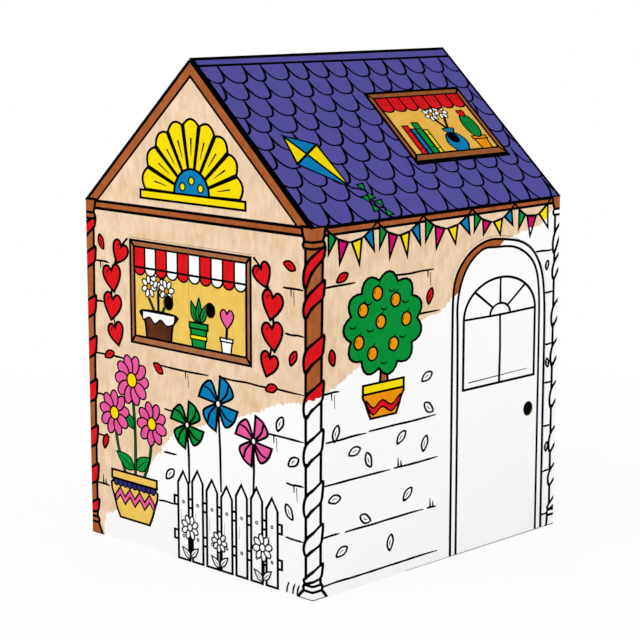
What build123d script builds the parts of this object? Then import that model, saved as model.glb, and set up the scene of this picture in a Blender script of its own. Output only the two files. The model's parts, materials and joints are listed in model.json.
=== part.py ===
from build123d import *
import math
import os

# A child's playhouse folded from one die-cut sheet of corrugated board. The front gable faces -Y, the wall with
# the door faces +X, and the origin is on the floor at the middle of the base. Sizes are in millimetres.

# The folded sheet, measured outside
house_width = 806.0  # across the front gable
house_depth = 894.0  # along the ridge
eave_height = 862.0
ridge_height = 1226.0
board = 4.0  # thickness of the board
inner_fold_radius = 1.0
lay_gap = 0.4  # between faces of the sheet that lie on each other unglued
corner_lap = 40.0  # glue lap inside the rear left corner
ridge_lap = 60.0  # lap of the left roof panel under the right one
lap_end_gap = 2.0  # between the ridge lap's ends and the gables

# The cuts that free the flaps
kerf = 1.0  # between a flap's free edge and the edge it was cut from
crease_gap = 0.3  # between a flap and the board at its crease
finger_hole = 38.0  # diameter

# The door in the right wall
door_width = 368.0
door_rear_margin = 51.0  # from the door's cut to the rear wall
door_head = 76.0  # from the crown of the arch to the eave
door_crown_shift = 27.0  # of the crown from the door's middle, towards the crease
door_crease_rise = 106.0  # of the crown above the arch's spring on the crease side
door_edge_rise = 165.0  # of the crown above the arch's spring on the free side
door_floor_gap = 2.0
door_hole_inset = 66.0  # from the free edge to the hole's middle
door_hole_height = 328.0  # above the floor

# The two shutters in the front wall
window_offset = -14.0  # of the meeting cut from the middle of the wall
window_width = 437.0
window_height = 265.0
window_head = 78.0  # from the window's cut to the eave
shutter_hole_inset = 75.0  # from the meeting edge to the hole's middle
shutter_hole_height = 117.0  # above the sill

# The skylight flap in the right roof panel
skylight_width = 352.0
skylight_length = 236.0  # down the slope
skylight_rear_margin = 68.0  # from its cut to the panel's rear edge
skylight_head = 148.0  # from the ridge to its crease, down the slope
skylight_hole_offset = 20.0  # from the flap's middle, towards the rear
skylight_hole_inset = 69.0  # from the flap's lower edge to the hole's middle

half_width = house_width / 2
half_depth = house_depth / 2
pitch = math.atan2(ridge_height - eave_height, half_width)
fold_radius = inner_fold_radius + board
fold_reach = 4 * fold_radius  # how far a fold's own strip runs on each side of it
door_middle = half_depth - door_rear_margin - door_width / 2
door_top = eave_height - door_head
window_sill = eave_height - window_head - window_height
skylight_middle = half_depth - skylight_rear_margin - skylight_width / 2

front_wall = Plane(origin=(0, -half_depth, 0), x_dir=(1, 0, 0), z_dir=(0, -1, 0))
right_wall = Plane(origin=(half_width, 0, 0), x_dir=(0, 1, 0), z_dir=(1, 0, 0))
right_slope = Plane(
    origin=(0, 0, ridge_height), x_dir=(0, 1, 0), z_dir=(math.sin(pitch), 0, math.cos(pitch))
)


def mitred(points, distance):
    """The points of an open path moved to its left by a distance, with mitred corners."""
    ways = [(b - a).normalized() for a, b in zip(points, points[1:])]
    sides = [Vector(-way.Y, way.X) for way in ways]
    moved = [points[0] + sides[0] * distance]
    for point, before, after in zip(points[1:], sides, sides[1:]):
        middle = before + after
        moved.append(point + middle * (distance / before.dot(middle)))
    moved.append(points[-1] + sides[-1] * distance)
    return moved


def rounded_path(points, radius):
    """A path through points, with its corners rounded."""
    if len(points) == 2:
        return Line(*points)
    return FilletPolyline(*points, radius=radius)


def folded_section(points):
    """Section of the folded board. The path is its outer face, and the board lies to the left of the path."""
    points = [Vector(point) for point in points]
    outer = rounded_path(points, fold_radius)
    inner = rounded_path(mitred(points, board), inner_fold_radius)
    ends = [Line(outer @ 0, inner @ 0), Line(outer @ 1, inner @ 1)]
    return make_face([outer, inner, *ends])


def under_roof(x, depth):
    """Height of the plane that lies a depth under the roof's outer face."""
    return ridge_height - abs(x) * math.tan(pitch) - depth / math.cos(pitch)


def along_ridge(section, end_inset):
    """A section drawn in X and Z, run along Y between insets from the house's two ends."""
    rear = half_depth - end_inset
    upright = Plane(origin=(0, rear, 0), x_dir=(1, 0, 0), z_dir=(0, -1, 0))
    return extrude(upright * section, amount=2 * rear)


def on_side(path, side):
    """A path drawn on the right of the house, or its mirror image on the left, run the other way."""
    return path if side > 0 else [(-x, z) for x, z in reversed(path)]


def wall_tube():
    """The four walls with both gables and the glue lap, cut to lie under the roof panels."""
    seam_x = board - half_width
    walls = folded_section(
        [
            (-half_width, half_depth),
            (-half_width, -half_depth),
            (half_width, -half_depth),
            (half_width, half_depth),
            (seam_x + fold_radius, half_depth),
        ]
    )
    lap = folded_section(
        [(seam_x + fold_reach, half_depth), (seam_x, half_depth), (seam_x, half_depth - corner_lap)]
    )
    gable_depth = board + lay_gap
    shoulder = under_roof(half_width, gable_depth)
    gable = make_face(
        Polyline(
            (-half_width, 0),
            (half_width, 0),
            (half_width, shoulder),
            (0, under_roof(0, gable_depth)),
            (-half_width, shoulder),
            close=True,
        )
    )
    tube = extrude(walls, amount=ridge_height) + extrude(lap, amount=shoulder)
    return tube & along_ridge(gable, 0)


def eave_fold(side):
    """The fold that joins a side wall to its roof panel, between the corner folds of the walls."""
    slope_x = half_width - fold_reach
    path = [
        (half_width, eave_height - fold_reach),
        (half_width, eave_height),
        (slope_x, under_roof(slope_x, 0)),
    ]
    return along_ridge(folded_section(on_side(path, side)), fold_radius)


def roof_panel(side, ridge_x):
    """A roof panel's slope, from the end of its eave fold to the ridge."""
    start_x = half_width - fold_radius * math.tan((math.pi / 2 - pitch) / 2) * math.cos(pitch)
    path = [(x, under_roof(x, 0)) for x in (start_x, ridge_x)]
    return along_ridge(folded_section(on_side(path, side)), 0)


def ridge_fold(ridge_x):
    """The left panel's fold at the ridge, with the lap that lies under the right panel."""
    fold = Vector(-ridge_x, under_roof(ridge_x, 0))
    down_right = Vector(math.cos(pitch), -math.sin(pitch))
    down_left = Vector(-math.cos(pitch), -math.sin(pitch))
    path = [fold + down_right * ridge_lap, fold, fold + down_left * fold_reach]
    return along_ridge(folded_section(path), board + lap_end_gap)


def arched_outline(crease_inset, edge_inset, floor_gap):
    """The door's outline, drawn inside its cut: inset at the crease and at the free edge, and off the floor.
    Its arch is two quarter ellipses that meet at the crown."""
    left = door_middle - door_width / 2 + crease_inset
    right = door_middle + door_width / 2 - edge_inset
    crown = door_middle - door_crown_shift
    left_spring = door_top - door_crease_rise
    right_spring = door_top - door_edge_rise
    sides = Polyline((left, left_spring), (left, floor_gap), (right, floor_gap), (right, right_spring))
    right_arc = EllipticalCenterArc((crown, right_spring), right - crown, door_edge_rise - edge_inset, 0)
    left_arc = EllipticalCenterArc((crown, left_spring), crown - left, door_crease_rise - edge_inset, 90)
    return make_face([sides, right_arc, left_arc])


def door():
    hole_y = door_middle + door_width / 2 - door_hole_inset
    outline = arched_outline(crease_gap, kerf, door_floor_gap)
    outline -= Pos(hole_y, door_hole_height) * Circle(finger_hole / 2)
    return extrude(right_wall * outline, amount=-board)


def shutter(side):
    """The left shutter has side -1 and the right one side 1."""
    width = window_width / 2 - crease_gap - kerf / 2
    middle_x = window_offset + side * (kerf / 2 + width / 2)
    middle_z = window_sill + window_height / 2
    hole_x = window_offset + side * shutter_hole_inset
    outline = Pos(middle_x, middle_z) * Rectangle(width, window_height - 2 * kerf)
    outline -= Pos(hole_x, window_sill + shutter_hole_height) * Circle(finger_hole / 2)
    return extrude(front_wall * outline, amount=-board)


def skylight_flap():
    length = skylight_length - crease_gap - kerf
    middle_down = skylight_head + crease_gap + length / 2
    hole_down = skylight_head + skylight_length - skylight_hole_inset
    outline = Pos(skylight_middle, -middle_down) * Rectangle(skylight_width - 2 * kerf, length)
    outline -= Pos(skylight_middle + skylight_hole_offset, -hole_down) * Circle(finger_hole / 2)
    return extrude(right_slope * outline, amount=-board)


def flap_cuts():
    """What the four flaps were cut from: the door, window and skylight openings."""
    doorway = arched_outline(0, 0, 0)
    window = Pos(window_offset, window_sill + window_height / 2) * Rectangle(window_width, window_height)
    skylight = Pos(skylight_middle, -skylight_head - skylight_length / 2) * Rectangle(
        skylight_width, skylight_length
    )
    outlines = [right_wall * doorway, front_wall * window, right_slope * skylight]
    return [extrude(outline, amount=board, both=True) for outline in outlines]


def house_sheet():
    left_ridge_x = (board + lay_gap) / (2 * math.sin(pitch))
    sheet = wall_tube()
    for side, ridge_x in ((1, 0), (-1, left_ridge_x)):
        sheet += eave_fold(side) + roof_panel(side, ridge_x)
    sheet += ridge_fold(left_ridge_x)
    for cut in flap_cuts():
        sheet -= cut
    return sheet


nodes = {
    "house_sheet": house_sheet(),
    "door": door(),
    "left_shutter": shutter(-1),
    "right_shutter": shutter(1),
    "skylight_flap": skylight_flap(),
}

os.makedirs("parts", exist_ok=True)
for name, shape in nodes.items():
    export_step(shape, f"parts/{name}.step")
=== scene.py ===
import json
import math
import random
import bpy
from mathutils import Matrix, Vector
from mathutils.geometry import delaunay_2d_cdt


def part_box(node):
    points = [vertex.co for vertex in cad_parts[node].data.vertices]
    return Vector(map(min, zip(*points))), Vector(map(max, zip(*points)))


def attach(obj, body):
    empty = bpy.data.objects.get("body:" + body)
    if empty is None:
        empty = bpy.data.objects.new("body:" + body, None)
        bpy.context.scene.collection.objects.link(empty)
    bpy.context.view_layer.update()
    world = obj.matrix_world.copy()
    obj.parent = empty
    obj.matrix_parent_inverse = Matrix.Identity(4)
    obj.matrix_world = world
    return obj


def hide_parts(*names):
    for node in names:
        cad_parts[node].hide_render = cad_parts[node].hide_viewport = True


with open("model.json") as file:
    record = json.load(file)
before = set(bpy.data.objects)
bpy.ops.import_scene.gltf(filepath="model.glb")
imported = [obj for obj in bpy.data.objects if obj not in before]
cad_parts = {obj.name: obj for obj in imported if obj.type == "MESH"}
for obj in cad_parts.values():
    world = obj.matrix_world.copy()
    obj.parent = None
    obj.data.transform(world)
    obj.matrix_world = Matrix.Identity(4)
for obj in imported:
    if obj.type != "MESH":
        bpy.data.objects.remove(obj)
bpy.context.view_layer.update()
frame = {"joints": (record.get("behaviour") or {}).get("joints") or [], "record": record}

# Sizes are in millimetres. What a solid's box shows is read from the frame.
MM = 0.001


def node_box(node):
    """Lowest and highest corners of a node."""
    low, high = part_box(node)
    return Vector(low) / MM, Vector(high) / MM


house_low, house_high = node_box("house_sheet")
door_low, door_high = node_box("door")
left_low, left_high = node_box("left_shutter")
right_low, right_high = node_box("right_shutter")
light_low, light_high = node_box("skylight_flap")
creases = {joint["child"]: Vector(joint["pos_m"]) / MM for joint in frame["joints"]}
hole_middles = {
    opening["name"]: (Vector(opening["box_m"][0]) + Vector(opening["box_m"][1])) / (2 * MM)
    for opening in frame["record"]["physics"]["openings"]
}

BOARD = door_high.x - door_low.x
INNER_FOLD = 1.0  # inside radius of a fold
FOLD = BOARD + INNER_FOLD  # outside radius
LAY_GAP = 0.4  # between the gables and the roof panels that lie on them
CORNER_LAP = 40.0
RIDGE_LAP = 60.0
LAP_END_GAP = 2.0  # between the ridge lap's ends and the gables
KERF = 1.0  # between a flap's free edge and the edge it was cut from
CREASE_GAP = 0.3  # between a flap and the board at its crease
CROWN_SHIFT = 27.0  # of the door's crown from the door's middle, towards the crease
CREASE_RISE = 106.0  # of the crown above the arch's spring on the crease side
EDGE_RISE = 165.0  # of the crown above the arch's spring on the free side
FINGER_HOLE = 19.0  # radius
FLUTE = 8.0  # from one flute of the board to the next
LINER = 0.09  # a liner's share of the board's thickness

HALF_W = (house_high.x - house_low.x) / 2
HALF_D = (house_high.y - house_low.y) / 2
RIDGE = house_high.z
light_crease = creases["skylight_flap"]
PITCH = math.atan2(RIDGE - light_crease.z, light_crease.x)
EAVE = RIDGE - HALF_W * math.tan(PITCH)
SLOPE = HALF_W / math.cos(PITCH)
GABLE_DEPTH = (BOARD + LAY_GAP) / math.cos(PITCH)  # of the gables' edges under the roof, straight down
LEFT_RIDGE = (BOARD + LAY_GAP) / (2 * math.sin(PITCH))  # from the middle to the left panel's ridge fold

DOOR_LEFT = door_low.y - CREASE_GAP
DOOR_RIGHT = door_high.y + KERF
DOOR_MIDDLE = (DOOR_LEFT + DOOR_RIGHT) / 2
DOOR_TOP = door_high.z + KERF
DOOR_CROWN = DOOR_MIDDLE - CROWN_SHIFT
LEFT_SPRING = DOOR_TOP - CREASE_RISE
RIGHT_SPRING = DOOR_TOP - EDGE_RISE
DOOR_HOLE = hole_middles["door_finger_hole"].yz
WINDOW_LEFT = creases["left_shutter"].x
WINDOW_RIGHT = creases["right_shutter"].x
WINDOW_LOW = left_low.z - KERF
WINDOW_HIGH = left_high.z + KERF
LEFT_HOLE = hole_middles["left_shutter_finger_hole"].xz
RIGHT_HOLE = hole_middles["right_shutter_finger_hole"].xz
LIGHT_LEFT = light_low.y - KERF
LIGHT_RIGHT = light_high.y + KERF


def up_slope(place):
    """How far up the right slope a place of its board lies, from the eave."""
    return SLOPE - place.x * math.cos(PITCH) - (RIDGE - place.z) * math.sin(PITCH)


LIGHT_HIGH = up_slope(light_crease)
LIGHT_LOW = SLOPE - light_high.x / math.cos(PITCH) - KERF
light_hole = hole_middles["skylight_finger_hole"]
LIGHT_HOLE = (light_hole.y, up_slope(light_hole))

# Pen widths. The nib is broad, so a line that runs up and down comes out wider.
PEN = 5.8
FINE = 5.4
BOLD = 6.6
SMALL = 4.0
TINY = 3.4
HAIR = 2.4
NIB = 1.4  # its width across the face, as a share of its height

OVER = 20.0  # how far print that reaches a panel's edge runs past it
NEAR = 0.3  # points of an outline that are nearer than this are one
MERGE = 1e-4  # and corners of triangles
INSIDE = 1  # triangles of the outlines' insides alone

chance = random.Random(7)


# Shader maths

def maths(operation, reflected=False):
    """A method of Value that adds a Math node, with the value first or, reflected, second."""

    def added(value, other=0.0):
        first, second = (other, value) if reflected else (value, other)
        return value.nodes.node("ShaderNodeMath", {"operation": operation}, {0: first, 1: second})

    return added


class Value:
    """What a node gives out. Sums, products and comparisons of values add Math nodes."""

    def __init__(self, nodes, socket):
        self.nodes = nodes
        self.socket = socket

    __add__ = maths("ADD")
    __radd__ = maths("ADD", True)
    __sub__ = maths("SUBTRACT")
    __rsub__ = maths("SUBTRACT", True)
    __mul__ = maths("MULTIPLY")
    __rmul__ = maths("MULTIPLY", True)
    __abs__ = maths("ABSOLUTE")
    __lt__ = maths("LESS_THAN")
    sine = maths("SINE")
    either = maths("MAXIMUM")
    least = maths("MINIMUM")


class Nodes:
    """The nodes of a material or of the world."""

    def __init__(self, tree):
        self.tree = tree

    def node(self, kind, settings=None, inputs=None, output=0):
        """Any node: its settings first, then the values or links of its sockets."""
        made = self.tree.nodes.new(kind)
        for key, value in (settings or {}).items():
            setattr(made, key, value)
        for key, value in (inputs or {}).items():
            self.feed(made.inputs[key], value)
        return Value(self, made.outputs[output])

    def feed(self, socket, value):
        if isinstance(value, Value):
            self.tree.links.new(value.socket, socket)
        else:
            socket.default_value = value

    def seen(self):
        """1 for what the camera sees, itself or mirrored, and 0 for light that falls on other things."""
        rays = ("Is Camera Ray", "Is Glossy Ray")
        camera_ray, glossy_ray = (self.node("ShaderNodeLightPath", output=ray) for ray in rays)
        return camera_ray.either(glossy_ray)


class Finish(Nodes):
    """A material and the nodes that make it."""

    def __init__(self, name):
        self.material = bpy.data.materials.new(name)
        self.material.use_nodes = True
        super().__init__(self.material.node_tree)
        self.shader = self.tree.nodes["Principled BSDF"]

    def set(self, **sockets):
        """Values or links for the shader's own sockets, with _ for a space."""
        for key, value in sockets.items():
            self.feed(self.shader.inputs[key.replace("_", " ")], value)

    def noise(self, scale, detail, stretch=(1.0, 1.0, 1.0)):
        """Noise over the piece's own coordinates, in metres, from 0 to 1."""
        place = self.node("ShaderNodeTexCoord", output="Object")
        spread = self.node("ShaderNodeVectorMath", {"operation": "MULTIPLY"}, {0: place, 1: stretch})
        return self.node("ShaderNodeTexNoise", None, {"Vector": spread, "Scale": scale, "Detail": detail})

    def attribute(self, name):
        return self.node("ShaderNodeAttribute", {"attribute_name": name}, output="Fac")

    def tint(self, colour, amount):
        """A colour made lighter or darker by a factor that varies."""
        return self.node(
            "ShaderNodeVectorMath", {"operation": "SCALE"}, {0: linear(colour)[:3], "Scale": amount}
        )

    def blend(self, factor, first, second):
        """The first colour where a factor is 0, and the second where it is 1."""
        mixed = {0: factor, 6: linear(first), 7: linear(second)}
        return self.node("ShaderNodeMix", {"data_type": "RGBA"}, mixed, output=2)

    def bump(self, height, distance):
        return self.node("ShaderNodeBump", None, {"Height": height, "Distance": distance}, output="Normal")


def linear(colour):
    """A screen colour of 0 to 255 as the shader's linear colour."""
    parts = [part / 255 for part in colour]
    return [p / 12.92 if p <= 0.04045 else ((p + 0.055) / 1.055) ** 2.4 for p in parts] + [1.0]


# Finishes of the board

RELIEF = 0.00012  # height of the printed liner's bumps, in metres
SHOW_THROUGH = 0.2  # the flutes' share of it


def washboard(finish):
    """The board's flutes showing faintly through its liner."""
    return (finish.attribute("flute") * (2 * math.pi / FLUTE)).sine()


def marker(name, deep, pale):
    """Paint or marker on the white liner, deep where the strokes overlap and pale where they thin out: short
    up-and-down dabs with fine bristle lines, over a mottled ground, with the paper's tooth."""
    finish = Finish(name)
    dabs = finish.noise(52.0, 2.0, (1.0, 1.0, 0.55))
    bristles = finish.noise(240.0, 2.0, (1.0, 1.0, 0.1))
    clouds = finish.noise(16.0, 3.0)
    thinness = 0.5 + (dabs - 0.5) * 1.7 + (bristles - 0.5) * 0.9 + (clouds - 0.5) * 1.2
    tooth = finish.noise(1400.0, 2.0)
    finish.set(
        Base_Color=finish.blend(thinness, deep, pale),
        Roughness=0.8 + (tooth - 0.5) * 0.16,
        Normal=finish.bump(washboard(finish) * SHOW_THROUGH + tooth * 0.5 + bristles * 0.3, RELIEF),
        Specular_IOR_Level=0.015,
    )
    return finish.material


def bare_liner(name, colour):
    """The board's white liner: clay-coated paper with a faint cloudiness."""
    finish = Finish(name)
    clouds = finish.noise(6.0, 3.0)
    fibres = finish.noise(900.0, 4.0)
    finish.set(
        Base_Color=finish.tint(colour, 1.0 + (clouds - 0.5) * 0.025 + (fibres - 0.5) * 0.025),
        Roughness=0.7 + (fibres - 0.5) * 0.14,
        Normal=finish.bump(washboard(finish) * SHOW_THROUGH + fibres * 0.4, RELIEF),
        Specular_IOR_Level=0.2,
    )
    return finish.material


def printed_ink(name, colour):
    """Black line print, soaked a little into the liner."""
    finish = Finish(name)
    soak = finish.noise(500.0, 3.0)
    finish.set(
        Base_Color=finish.tint(colour, 0.6 + soak * 0.8),
        Roughness=0.75 + (soak - 0.5) * 0.2,
        Normal=finish.bump(washboard(finish) * SHOW_THROUGH + soak * 0.3, RELIEF),
        Specular_IOR_Level=0.0,
    )
    return finish.material


def kraft_liner(name, colour):
    """The brown inner liner, with long fibres and specks, and the flutes showing through: as bumps, and as a
    faint painted shade of their ribs in the colour.
    """
    finish = Finish(name)
    fibres = finish.noise(260.0, 5.0, (1.0, 1.0, 0.25))
    clouds = finish.noise(12.0, 2.0)
    specks = finish.noise(700.0, 1.0) < 0.3
    ribs = washboard(finish)
    # Fibres, clouds and specks vary the tone; the ribs' term is painted shade of the washboard relief
    tone_and_rib_shade = 1.0 + (fibres - 0.5) * 0.35 + (clouds - 0.5) * 0.12 + ribs * 0.025 - specks * 0.08
    finish.set(
        Base_Color=finish.tint(colour, tone_and_rib_shade),
        Roughness=0.85 + (fibres - 0.5) * 0.15,
        Normal=finish.bump(ribs * 0.6 + fibres * 0.5, 0.00018),
        Specular_IOR_Level=0.15,
    )
    return finish.material


def cut_edge(name, paper, hollow_shade):
    """A cut through the flutes: the wave of the middle paper between the two liners, with painted shade for
    the hollows beside it.
    """
    finish = Finish(name)
    wave_height, paper_half = 0.36, 0.13  # as shares of the board's thickness
    wave = washboard(finish) * wave_height + 0.5
    fibres = finish.noise(900.0, 3.0)
    paper_shows = abs(finish.attribute("depth") - wave) < paper_half
    finish.set(
        # Where the middle paper doesn't show, the dark colour is painted shade of the hollows
        Base_Color=finish.blend(paper_shows, hollow_shade, paper),
        Roughness=0.85 + (fibres - 0.5) * 0.2,
        Normal=finish.bump(paper_shows * 0.8 + fibres * 0.2, 0.0004),
        Specular_IOR_Level=0.1,
    )
    return finish.material


KRAFT = (186, 146, 102)
paints = {
    "paper": bare_liner("white_liner", (252, 252, 252)),
    # A grey liner for a thin strip along the right wall's foot: painted shade where the wall meets the floor
    "scuffed": bare_liner("contact_shade_liner", (188, 186, 182)),
    "ink": printed_ink("black_ink", (4, 4, 5)),
    "tan": marker("tan_wash", (223, 191, 153), (244, 217, 187)),
    "kraft": kraft_liner("kraft_liner", KRAFT),
    "liner_edge": bare_liner("liner_edge", (232, 228, 220)),
    # The cut edge's hollows are a dark brown: painted shade in place of modelled cavities
    "flute_edge": cut_edge("flute_edge", (196, 158, 114), (104, 78, 52)),
    "kraft_edge": kraft_liner("kraft_edge", KRAFT),
}
# Each marker's colours, deep and pale
markers = {
    "brown": ((153, 81, 37), (178, 99, 53)),
    "umber": ((152, 97, 59), (177, 115, 75)),
    "walnut": ((139, 80, 39), (161, 97, 55)),
    "red": ((210, 20, 24), (226, 28, 34)),
    "yellow": ((242, 215, 4), (250, 224, 14)),
    "gold": ((229, 189, 84), (241, 203, 99)),
    "amber": ((228, 175, 69), (240, 189, 85)),
    "green": ((5, 135, 53), (13, 146, 62)),
    "blue": ((5, 119, 174), (13, 129, 187)),
    "pink": ((222, 84, 149), (236, 95, 160)),
    "magenta": ((203, 7, 104), (215, 15, 115)),
    "orange": ((228, 140, 8), (241, 154, 19)),
    "navy": ((38, 38, 104), (50, 50, 120)),
    "chocolate": ((74, 36, 18), (98, 52, 30)),
    "purple": ((80, 80, 152), (90, 81, 163)),
}
for name, (deep, pale) in markers.items():
    paints[name] = marker(name + "_marker", deep, pale)

# Paints of a cut edge: its printed liner, its flutes and its inner liner
PLAIN_EDGE = ("liner_edge", "flute_edge", "kraft_edge")
BLACK_EDGE = ("ink", "ink", "ink")  # where the black border of the print wraps over the cut, and painted shade of the dark gaps along the roof's edges and round the skylight flap


# Lines and outlines on a face, as lists of 2-D points

def smooth(points, closed=False, steps=6):
    """Points along a smooth line through a few given ones."""
    points = [Vector(point) for point in points]
    count = len(points)
    line = []
    for i in range(count if closed else count - 1):
        near = [i + step if closed else min(max(i + step, 0), count - 1) for step in (-1, 0, 1, 2)]
        a, b, c, d = (points[k % count] for k in near)
        for step in range(steps):
            t = step / steps
            bend = (2 * a - 5 * b + 4 * c - d) * t * t + (3 * b - a - 3 * c + d) * t ** 3
            line.append(0.5 * (2 * b + (c - a) * t + bend))
    return line if closed else line + [points[-1]]


def arc(middle, wide, high, start, end, steps=24):
    """Points along an ellipse from one angle to another, in degrees."""
    angles = [math.radians(start + (end - start) * i / steps) for i in range(steps + 1)]
    return [Vector((middle[0] + wide * math.cos(a), middle[1] + high * math.sin(a))) for a in angles]


def oval(middle, wide, high=None, turn=0.0, steps=28):
    """A closed ellipse, turned by an angle in degrees."""
    points = arc((0, 0), wide, high or wide, 0, 360, steps)[:-1]
    return moved(points, middle, turn)


def box(left, low, right, high):
    return [Vector(corner) for corner in ((left, low), (right, low), (right, high), (left, high))]


def moved(points, middle, turn=0.0, scale=1.0):
    """Points drawn about (0, 0), scaled, turned by an angle in degrees and set at a middle."""
    c = math.cos(math.radians(turn)) * scale
    s = math.sin(math.radians(turn)) * scale
    return [Vector((middle[0] + c * p[0] - s * p[1], middle[1] + s * p[0] + c * p[1])) for p in points]


def mirrored(points):
    return [Vector((-p[0], p[1])) for p in reversed(points)]


def signed_area(points):
    return sum(a.x * b.y - b.x * a.y for a, b in zip(points, points[1:] + points[:1])) / 2


def cleaned(points):
    """An outline run anticlockwise, with no points that all but meet."""
    points = [Vector(point) for point in points]
    kept = [p for p, q in zip(points, points[1:] + points[:1]) if (q - p).length > NEAR]
    return kept if signed_area(kept) > 0 else kept[::-1]


def gap_to(outline, point):
    """How far a point lies from an outline."""
    nearest = 1e9
    for a, b in zip(outline, outline[1:] + outline[:1]):
        way = b - a
        share = min(max((point - a).dot(way) / way.length_squared, 0.0), 1.0)
        nearest = min(nearest, (point - a - way * share).length)
    return nearest


def holds(outline, point):
    """Whether a point lies inside an outline."""
    crossings = [
        a.x + (b.x - a.x) * (point.y - a.y) / (b.y - a.y)
        for a, b in zip(outline, outline[1:] + outline[:1])
        if (a.y > point.y) != (b.y > point.y)
    ]
    return sum(crossing > point.x for crossing in crossings) % 2 == 1


def grown(outline, distance):
    """An anticlockwise outline moved outwards. Sharp outer corners are cut short, and where the moved line
    would cross itself it is left out."""
    outer_limit, inner_limit = 0.55, 0.08  # least cosines for the mitres, which cap their lengths
    true_share = 0.96  # least share of the distance that a kept point has
    moved_out = []
    for before, point, after in zip(outline[-1:] + outline[:-1], outline, outline[1:] + outline[:1]):
        first = (point - before).normalized()
        second = (after - point).normalized()
        side = Vector((first.y + second.y, -first.x - second.x))
        if side.length < 0.1:
            side = first
        side.normalize()
        limit = outer_limit if first.cross(second) * distance > 0 else inner_limit
        reach = distance / max(side.dot(Vector((first.y, -first.x))), limit)
        moved_out.append(point + side * reach)
    return [
        point
        for point in moved_out
        if gap_to(outline, point) > abs(distance) * true_share and holds(outline, point) == (distance < 0)
    ]


def pen_line(points, width, start=0.4, end=0.4):
    """Outline of a drawn line that swells from its start and thins to its end."""
    swell_share = 0.18
    points = [Vector(point) for point in points]
    run = [0.0]
    for a, b in zip(points, points[1:]):
        run.append(run[-1] + (b - a).length)
    left, right = [], []
    for i, point in enumerate(points):
        ahead = points[min(i + 1, len(points) - 1)] - points[max(i - 1, 0)]
        ahead.normalize()
        share = run[i] / run[-1]
        swelling = start + (1 - start) * share / swell_share
        thinning = end + (1 - end) * (1 - share) / swell_share
        swell = min(1.0, swelling, thinning)
        side = Vector((-ahead.y, ahead.x)) * (width / 2 * swell * chance.uniform(0.9, 1.1))
        left.append(point + side)
        right.append(point - side)
    first_way = (points[1] - points[0]).normalized()
    last_way = (points[-1] - points[-2]).normalized()
    tip = points[-1] + last_way * (width / 2 * end)
    tail = points[0] - first_way * (width / 2 * start)
    return right + [tip] + left[::-1] + [tail]


def stretched(points, factor):
    """Points made wider or narrower across the face."""
    return [Vector((p[0] * factor, p[1])) for p in points]


def ragged(points, step=7.0, amount=2.6):
    """A brush's edge: the line through points, broken into small uneven strokes."""
    edge = []
    for a, b in zip(points, points[1:]):
        a, b = Vector(a), Vector(b)
        count = max(1, round((b - a).length / step))
        side = Vector((a.y - b.y, b.x - a.x)).normalized()
        for i in range(count):
            stray = chance.gauss(0, amount)
            edge.append(a.lerp(b, (i + chance.uniform(-0.25, 0.25)) / count) + side * stray)
    return [Vector(points[0]), *edge[1:], Vector(points[-1])]


class Drawing:
    """The print on one side of the house. Outlines lie over each other, the last on top, and each has one
    paint where the colouring-in has reached and another where the board is still bare."""

    def __init__(self, painted="tan", bare="paper", edge=PLAIN_EDGE):
        self.ground = (painted, bare)
        self.edge = edge
        self.washes = []
        self.layers = []

    def wash(self, outline):
        """A part of the side that is coloured in."""
        self.washes.append(cleaned(outline))

    def fill(self, outline, paint=None, bare=None):
        """A field with no outline. With no paint it shows the ground and hides the lines behind it."""
        paints_here = self.ground if paint is None else (paint, bare or paint)
        self.layers.append((cleaned(outline), paints_here))

    def line(self, points, width=PEN, start=0.4, end=0.4):
        stroke = pen_line(stretched(points, 1 / NIB), width, start, end)
        self.fill(stretched(stroke, NIB), "ink")

    def rule(self, points, width=FINE):
        """A line with blunt ends."""
        self.line(points, width, 1, 1)

    def shape(self, outline, paint=None, bare=None, pen=PEN):
        """A field with an inked outline."""
        outline = stretched(cleaned(outline), 1 / NIB)
        self.fill(stretched(grown(outline, pen / 2), NIB), "ink")
        self.fill(stretched(grown(outline, -pen / 2), NIB), paint, bare)


# The folded board

class Face:
    """A flat panel of the board. At each folded side it rolls through its half of the fold."""

    def __init__(self, origin, across, up, folds=()):
        self.origin = Vector(origin)
        self.axes = (Vector(across), Vector(up))
        self.out = self.axes[0].cross(self.axes[1])
        self.folds = []
        for axis, sign, edge, half_turn in folds:
            flat_end = edge - FOLD * math.tan(half_turn)
            self.folds.append((axis, sign, flat_end, flat_end + FOLD * half_turn))

    def end(self, axis, sign):
        """How far the panel's board runs to a folded side, measured along its surface."""
        return next(arc_end for a, s, flat_end, arc_end in self.folds if (a, s) == (axis, sign))

    def bends(self, far):
        """Lines that let the triangles follow the folds."""
        lines = []
        for axis, sign, flat_end, arc_end in self.folds:
            for share in (0.0, 0.35, 0.7):
                place = sign * (flat_end + share * (arc_end - flat_end))
                ends = [(place, -far), (place, far)] if axis == 0 else [(-far, place), (far, place)]
                lines.append([Vector(end) for end in ends])
        return lines

    def place(self, point, depth):
        """Where a point of the face lies, at a share of the board's thickness under the print."""
        flat = [point[0], point[1]]
        drop = 0.0
        normal = self.out.copy()
        for axis, sign, flat_end, arc_end in self.folds:
            past = flat[axis] * sign - flat_end
            if past > 0:
                turn = past / FOLD
                flat[axis] = sign * (flat_end + FOLD * math.sin(turn))
                drop += FOLD * (1 - math.cos(turn))
                normal += self.axes[axis] * (sign * math.sin(turn)) - self.out * (1 - math.cos(turn))
        at = self.origin + self.axes[0] * flat[0] + self.axes[1] * flat[1] - self.out * drop
        return (at - normal.normalized() * (depth * BOARD)) * MM


def overlap(outline, other):
    """Whether the boxes around two outlines meet."""
    return all(
        min(p[k] for p in outline) < max(q[k] for q in other)
        and min(q[k] for q in other) < max(p[k] for p in outline)
        for k in (0, 1)
    )


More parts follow.
